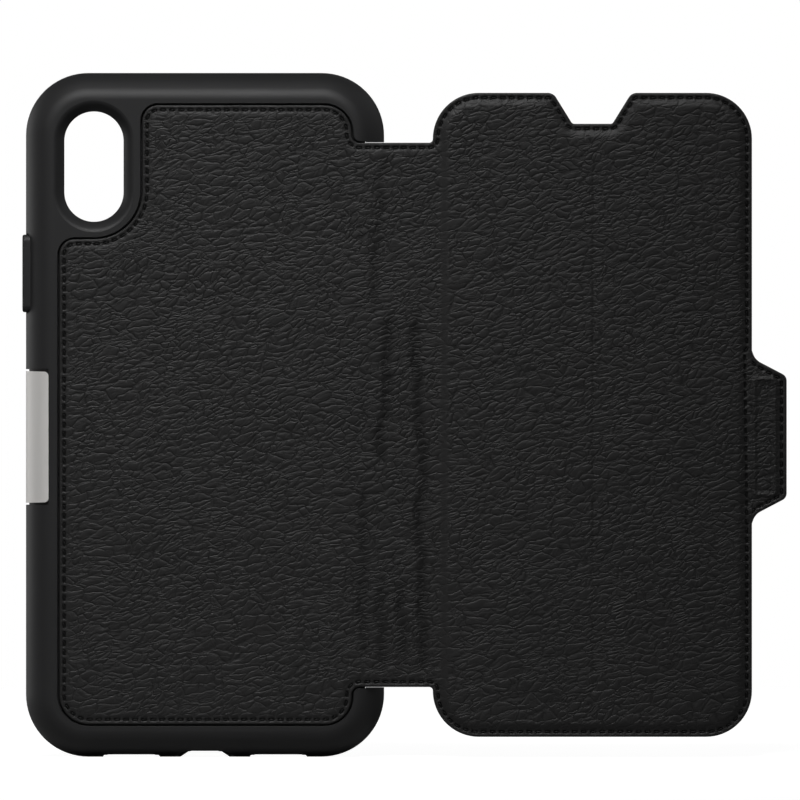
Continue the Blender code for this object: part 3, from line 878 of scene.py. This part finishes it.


# Black full-grain cowhide with an embossed grain and a waxy dressing: its creases are drier
# than the pebbles, and painted shade darkens them in colour and specular tint. Under each stitch
# the hide is drawn down into a slot, and painted shade darkens the slots and the spine's fold
# creases the same way.
material, tree, output = new_material("black grained leather")
rest = add(tree, "ShaderNodeAttribute", attribute_name="rest_place")
height = grain(tree, rest.outputs["Vector"])
fibre = add(tree, "ShaderNodeTexNoise", {"Vector": rest.outputs["Vector"], "Scale": 5200.0, "Detail": 3.0})
tone = add(tree, "ShaderNodeTexNoise", {"Vector": rest.outputs["Vector"], "Scale": 45.0, "Detail": 2.0})
border = add(tree, "ShaderNodeAttribute", attribute_name="edge_share")
seam = add(tree, "ShaderNodeAttribute", attribute_name="stitch_place_and_fold_shade")
run = add(tree, "ShaderNodeSeparateXYZ", {0: seam.outputs["Vector"]})
turn = add(tree, "ShaderNodeMath", {0: run.outputs[0], 1: 0.5}, operation="PINGPONG")
away = add(tree, "ShaderNodeMath", {0: 0.5, 1: turn.outputs[0]}, operation="SUBTRACT")
long = add(
    tree,
    "ShaderNodeMath",
    {0: away.outputs[0], 1: 2 * STITCH_PITCH / SLOT_LENGTH},
    operation="MULTIPLY",
)
wide = add(tree, "ShaderNodeMath", {0: run.outputs[1], 1: 2 * MM / SLOT_WIDTH}, operation="MULTIPLY")
long_4 = add(tree, "ShaderNodeMath", {0: long.outputs[0], 1: 4.0}, operation="POWER")
wide_4 = add(tree, "ShaderNodeMath", {0: wide.outputs[0], 1: 4.0}, operation="POWER")
slot = add(tree, "ShaderNodeMath", {0: long_4.outputs[0], 1: wide_4.outputs[0]}, operation="ADD")
# outside is 0 in a stitch's slot, where painted shade darkens the colour and the specular tint.
outside = add(
    tree, "ShaderNodeMapRange", {0: slot.outputs[0], 1: 0.5, 2: 1.8}, interpolation_type="SMOOTHSTEP"
)
even = add(tree, "ShaderNodeMix", {0: border.outputs["Fac"], 2: 0.85, 3: height}, data_type="FLOAT")
peaks = add(tree, "ShaderNodeMix", {0: 0.06, 2: even.outputs[0], 3: fibre.outputs[0]}, data_type="FLOAT")
relief = add(tree, "ShaderNodeMath", {0: peaks.outputs[0], 1: outside.outputs[0]}, operation="MULTIPLY")
# Painted shade between the grain's pebbles: crest falls to 0.45 in the creases. It also sets their
# roughness.
crest = add(tree, "ShaderNodeMapRange", {0: even.outputs[0], 1: 0.0, 2: 0.4, 3: 0.45})
# Painted shade along the spine's fold creases: colour and specular tint fall to half in the deepest ones.
painted_fold_shade = add(tree, "ShaderNodeMapRange", {0: run.outputs[2], 3: 1.0, 4: 0.5})
clear = add(tree, "ShaderNodeMath", {0: outside.outputs[0], 1: painted_fold_shade.outputs[0]}, operation="MULTIPLY")
lit = add(tree, "ShaderNodeMath", {0: clear.outputs[0], 1: crest.outputs[0]}, operation="MULTIPLY")
patchy = add(tree, "ShaderNodeMapRange", {0: tone.outputs[0], 1: 0.3, 2: 0.8})
full = add(
    tree,
    "ShaderNodeMix",
    {0: patchy.outputs[0], 6: linear("#131212"), 7: linear("#0e0e0e")},
    data_type="RGBA",
)
# The hide's colour falls to #0d0d0d where lit is low: painted shade in the slots, the grain's creases and
# the spine's folds.
colour = add(
    tree, "ShaderNodeMix", {0: lit.outputs[0], 6: linear("#0d0d0d"), 7: full.outputs[2]}, data_type="RGBA"
)
# Painted shade in the reflection: the specular tint greys to #8c8c8c in the same places.
sheen = add(
    tree, "ShaderNodeMix", {0: lit.outputs[0], 6: linear("#8c8c8c"), 7: linear("#ffffff")}, data_type="RGBA"
)
gloss = add(tree, "ShaderNodeMapRange", {0: crest.outputs[0], 1: 0.45, 3: 0.75, 4: 0.56})
bump = add(tree, "ShaderNodeBump", {"Height": relief.outputs[0], "Distance": 0.00015, "Strength": 1.0})
hide = add(
    tree,
    "ShaderNodeBsdfPrincipled",
    {
        "Base Color": colour.outputs[2],
        "Roughness": gloss.outputs[0],
        "Specular Tint": sheen.outputs[2],
        "Normal": bump.outputs[0],
    },
)
tree.links.new(hide.outputs[0], output.inputs[0])
leather = material


def group_with(name, inputs):
    """An empty geometry group with a named input for each setting, and its input node."""
    group = bpy.data.node_groups.new(name, "GeometryNodeTree")
    group.interface.new_socket("Geometry", in_out="INPUT", socket_type="NodeSocketGeometry")
    for label, kind in inputs:
        group.interface.new_socket(label, in_out="INPUT", socket_type=kind)
    group.interface.new_socket("Geometry", in_out="OUTPUT", socket_type="NodeSocketGeometry")
    return group, group.nodes.new("NodeGroupInput")


def grow(piece, group, values):
    """Turns a piece into what a geometry group makes of it."""
    step = piece.modifiers.new(group.name, "NODES")
    step.node_group = group
    for item in group.interface.items_tree:
        if item.in_out == "INPUT" and item.name in values:
            step[item.identifier] = values[item.name]
    settle(piece)


# The same grain in the skin's own shape: each pebble stands a little out of the creases, and
# the rolled edges stay smooth.
relief, given = group_with("leather grain relief", [("Rise", "NodeSocketFloat")])
place = add(relief, "GeometryNodeInputPosition")
pebbles = grain(relief, place.outputs[0])
border = add(relief, "GeometryNodeInputNamedAttribute", {"Name": "edge_share"}, data_type="FLOAT")
rise = add(relief, "ShaderNodeMath", {0: pebbles, 1: given.outputs["Rise"]}, operation="MULTIPLY")
kept = add(relief, "ShaderNodeMath", {0: rise.outputs[0], 1: border.outputs[0]}, operation="MULTIPLY")
offset = add(relief, "ShaderNodeCombineXYZ", {1: kept.outputs[0]})
moved = add(relief, "GeometryNodeSetPosition", {0: given.outputs[0], "Offset": offset.outputs[0]})
add(relief, "NodeGroupOutput", {0: moved.outputs[0]})

for piece in (panel_leather, cover_leather, tab_leather):
    grow(piece, relief, {"Rise": GRAIN_RISE})
    piece.data.materials.append(leather)
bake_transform(panel_leather)
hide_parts("back_panel_leather", "spine_fold_leather", "spine_leather")
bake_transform(cover_leather)
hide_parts("cover_fold_leather", "cover_leather")
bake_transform(tab_leather)
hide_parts("tab_fold_leather", "tab_leather")

# ---------------------------------------------------------------------------------------
# The card pockets inside the cover, one over the other: two sheets of the same leather,
# open towards the middle of the cover and stitched down along their other three sides.

POCKET_LEFT, POCKET_TOP, POCKET_FOOT = 54.4 * MM, 58.1 * MM, -64.2 * MM


def pocket(name, mouth, face, thickness, rests):
    """A pocket's sheet: its mouth's edge shows its thickness, and its other sides reach down
    to what it is stitched to."""
    shape = rounded(
        [
            (POCKET_LEFT, POCKET_TOP, 3 * MM),
            (mouth, POCKET_TOP, 0),
            (mouth, POCKET_FOOT, 0),
            (POCKET_LEFT, POCKET_FOOT, 3 * MM),
        ]
    )

    def top(x, z, d):
        return face - rolled(d, 0.25 * MM) - 0.07 * MM * np.exp(-(((d - STITCH_INSET) / (0.3 * MM)) ** 2))

    def side_foot(x, z):
        return face - thickness if x > mouth - 0.5 * MM else rests

    def never(x, z):
        return np.zeros(len(x), bool)

    def at_mouth(x, z):
        return np.abs(x - mouth) < 1e-6

    piece, stitches = skin(name, shape, never, top, side_foot, at_mouth, 0.8 * MM)
    piece.data.materials.append(leather)
    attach(piece, "cover")
    return piece, stitches


under, _ = pocket("card_pocket_under_sheet", 95.6 * MM, 0.45 * MM, 0.4 * MM, -0.22 * MM)
over, pocket_stitches = pocket("card_pocket_over_sheet", POCKET_MOUTH, 1.1 * MM, 0.4 * MM, 0.42 * MM)
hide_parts("card_pocket_under")
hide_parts("card_pocket_over")

# ---------------------------------------------------------------------------------------
# The microfibre linings: one behind the spine's first fold, one that runs on from it over
# the second fold and the whole inside of the cover, and one behind the tab.

lining_edge = 0.25 * MM
spine_lining_shape = rounded(
    [
        (37.3 * MM, -SPINE_EDGE + lining_edge, 0),
        (37.3 * MM, SPINE_EDGE - lining_edge, 0),
        (SPINE_MIDDLE, SPINE_EDGE - lining_edge, 0),
        (SPINE_MIDDLE, -SPINE_EDGE + lining_edge, 0),
    ]
)
inner_left = COVER_SIDES[0] + lining_edge
cover_lining_shape = rounded(
    [
        (SPINE_MIDDLE, -SPINE_EDGE + lining_edge, 0),
        (SPINE_MIDDLE, SPINE_EDGE - lining_edge, 0),
        (inner_left, SPINE_EDGE - lining_edge, fillet),
        *cover_corners(inner_left, lining_edge),
        (inner_left, -SPINE_EDGE + lining_edge, fillet),
    ]
)
tab_lining_corners = [(x - lining_edge, z - lining_edge, r) for x, z, r in tab_corners[:3]]
tab_lining_corners += [(x, -z, r) for x, z, r in tab_lining_corners[::-1]]
tab_lining_shape = rounded([(x, z + LATCH_Z, r) for x, z, r in tab_lining_corners])


def lining_surface(x, z, d):
    rise = smoothstep(52.6 * MM, 54.4 * MM, x)
    return (-1.15 + 0.95 * rise) * MM - rolled(d, 0.2 * MM)


def lining_foot(x, z):
    return float(lining_surface(x, z, np.array(1.0))) - 0.45 * MM


spine_lining, _ = skin(
    "spine_lining_skin", spine_lining_shape, at_spine_middle, lining_surface, lining_foot, grid=0.8 * MM
)
cover_lining, _ = skin(
    "cover_lining_skin", cover_lining_shape, at_spine_middle, lining_surface, lining_foot, grid=0.8 * MM
)
tab_lining, _ = skin(
    "tab_lining_skin",
    tab_lining_shape,
    lambda x, z: x < 125.8 * MM,
    lambda x, z, d: -rolled(d, 0.2 * MM),
    lambda x, z: TAB_INNER_FACE,
    grid=0.5 * MM,
)

# Charcoal microfibre with a short nap: matt, a soft sheen at grazing angles, and faint
# patches where the nap leans another way.
material, tree, output = new_material("charcoal microfibre")
rest = add(tree, "ShaderNodeAttribute", attribute_name="rest_place")
nap = add(tree, "ShaderNodeTexNoise", {"Vector": rest.outputs["Vector"], "Scale": 4200.0, "Detail": 4.0})
lean = add(tree, "ShaderNodeTexNoise", {"Vector": rest.outputs["Vector"], "Scale": 110.0, "Detail": 3.0})
both = add(tree, "ShaderNodeMix", {0: 0.5, 2: nap.outputs[0], 3: lean.outputs[0]}, data_type="FLOAT")
spread = add(tree, "ShaderNodeMapRange", {0: both.outputs[0], 1: 0.35, 2: 0.65})
colour = add(
    tree,
    "ShaderNodeMix",
    {0: spread.outputs[0], 6: linear("#1e1e1f"), 7: linear("#2c2b2b")},
    data_type="RGBA",
)
bump = add(tree, "ShaderNodeBump", {"Height": nap.outputs[0], "Distance": 0.00008, "Strength": 0.8})
cloth = add(
    tree,
    "ShaderNodeBsdfPrincipled",
    {
        "Base Color": colour.outputs[2],
        "Roughness": 0.95,
        "Specular IOR Level": 0.2,
        "Sheen Weight": 0.25,
        "Sheen Roughness": 0.5,
        "Normal": bump.outputs[0],
    },
)
tree.links.new(cloth.outputs[0], output.inputs[0])
for piece in (spine_lining, cover_lining, tab_lining):
    piece.data.materials.append(material)
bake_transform(spine_lining)
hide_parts("spine_fold_lining", "spine_lining")
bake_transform(cover_lining)
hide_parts("cover_fold_lining", "cover_lining")
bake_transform(tab_lining)
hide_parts("tab_fold_lining", "tab_lining")

# What the leather hides: the backing glued under the back panel, the fibreboard that
# stiffens the cover, and the tab's magnet.
nodes["panel_backing"].data.materials.clear()
nodes["panel_backing"].data.materials.append(material)

material, tree, output = new_material("grey fibreboard")
place = add(tree, "ShaderNodeTexCoord")
fibres = add(tree, "ShaderNodeTexNoise", {"Vector": place.outputs["Object"], "Scale": 900.0, "Detail": 5.0})
colour = add(
    tree,
    "ShaderNodeMix",
    {0: fibres.outputs[0], 6: linear("#5c554c"), 7: linear("#776f64")},
    data_type="RGBA",
)
board = add(tree, "ShaderNodeBsdfPrincipled", {"Base Color": colour.outputs[2], "Roughness": 0.9})
tree.links.new(board.outputs[0], output.inputs[0])
nodes["cover_board"].data.materials.clear()
nodes["cover_board"].data.materials.append(material)

material, tree, output = new_material("nickel plating, bright")
place = add(tree, "ShaderNodeTexCoord")
haze = add(tree, "ShaderNodeTexNoise", {"Vector": place.outputs["Object"], "Scale": 300.0})
gloss = add(tree, "ShaderNodeMapRange", {0: haze.outputs[0], 3: 0.18, 4: 0.32})
plating = add(
    tree,
    "ShaderNodeBsdfPrincipled",
    {"Base Color": linear("#c9c3b9"), "Metallic": 1.0, "Roughness": gloss.outputs[0]},
)
tree.links.new(plating.outputs[0], output.inputs[0])
nodes["tab_magnet"].data.materials.clear()
nodes["tab_magnet"].data.materials.append(material)

# ---------------------------------------------------------------------------------------
# The stitching: black bonded thread, one stitch from hole to hole each 2.09 mm, 1.18 mm in
# from the edges of the panel, the spine, the cover, the tab and the card pocket.

material, tree, output = new_material("black bonded nylon thread")
place = add(tree, "ShaderNodeTexCoord")
plies = add(tree, "ShaderNodeTexNoise", {"Vector": place.outputs["Object"], "Scale": 6000.0})
gloss = add(tree, "ShaderNodeMapRange", {0: plies.outputs[0], 3: 0.4, 4: 0.6})
nylon = add(
    tree,
    "ShaderNodeBsdfPrincipled",
    {
        "Base Color": linear("#111111"),
        "Roughness": gloss.outputs[0],
        "Specular Tint": linear("#b4b4b4"),
    },
)
tree.links.new(nylon.outputs[0], output.inputs[0])

sewing, given = group_with(
    "stitches on places",
    [
        ("Stitch Length", "NodeSocketFloat"),
        ("Thread Width", "NodeSocketFloat"),
        ("Thread", "NodeSocketMaterial"),
    ],
)
ball = add(sewing, "GeometryNodeMeshUVSphere", {"Segments": 10, "Rings": 8, "Radius": 0.5})
size = add(
    sewing,
    "ShaderNodeCombineXYZ",
    {0: given.outputs["Stitch Length"], 1: given.outputs["Thread Width"], 2: given.outputs["Thread Width"]},
)
stitch = add(sewing, "GeometryNodeTransform", {0: ball.outputs[0], "Scale": size.outputs[0]})
ahead = add(
    sewing, "GeometryNodeInputNamedAttribute", {"Name": "direction"}, data_type="FLOAT_VECTOR"
)
turned = add(sewing, "FunctionNodeAlignRotationToVector", {"Vector": ahead.outputs[0]}, axis="X")
sewn = add(
    sewing,
    "GeometryNodeInstanceOnPoints",
    {"Points": given.outputs[0], "Instance": stitch.outputs[0], "Rotation": turned.outputs[0]},
)
real = add(sewing, "GeometryNodeRealizeInstances", {0: sewn.outputs[0]})
smooth_shade = add(sewing, "GeometryNodeSetShadeSmooth", {0: real.outputs[0]})
finished = add(
    sewing,
    "GeometryNodeSetMaterial",
    {"Geometry": smooth_shade.outputs[0], "Material": given.outputs["Thread"]},
)
add(sewing, "NodeGroupOutput", {0: finished.outputs[0]})


def sew(name, stitches, side):
    """A seam's thread as one mesh. side is -1 where the seam faces -Y, and 1 where it faces
    +Y. The stitches lean a little across the seam, as lockstitch does."""
    places, directions = stitches
    lean = math.radians(9)
    x, z = directions.T
    leaning = np.stack(
        [x * math.cos(lean) - z * math.sin(lean), 0 * x, x * math.sin(lean) + z * math.cos(lean)],
        axis=1,
    )
    mesh = bpy.data.meshes.new(name)
    mesh.from_pydata([tuple(p) for p in places - (0, side * 0.14 * MM, 0)], [], [])
    data = mesh.attributes.new("direction", "FLOAT_VECTOR", "POINT").data
    data.foreach_set("vector", leaning.astype(np.float32).ravel())
    piece = bpy.data.objects.new(name, mesh)
    bpy.context.scene.collection.objects.link(piece)
    grow(piece, sewing, {"Stitch Length": 1.25 * MM, "Thread Width": 0.34 * MM, "Thread": material})
    return piece


panel_thread = sew("panel_stitching", panel_stitches, -1)
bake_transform(panel_thread)
cover_thread = sew("cover_stitching", cover_stitches, -1)
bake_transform(cover_thread)
tab_thread = sew("tab_stitching", tab_stitches, -1)
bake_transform(tab_thread)
pocket_thread = sew("pocket_stitching", pocket_stitches, 1)
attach(pocket_thread, "cover")
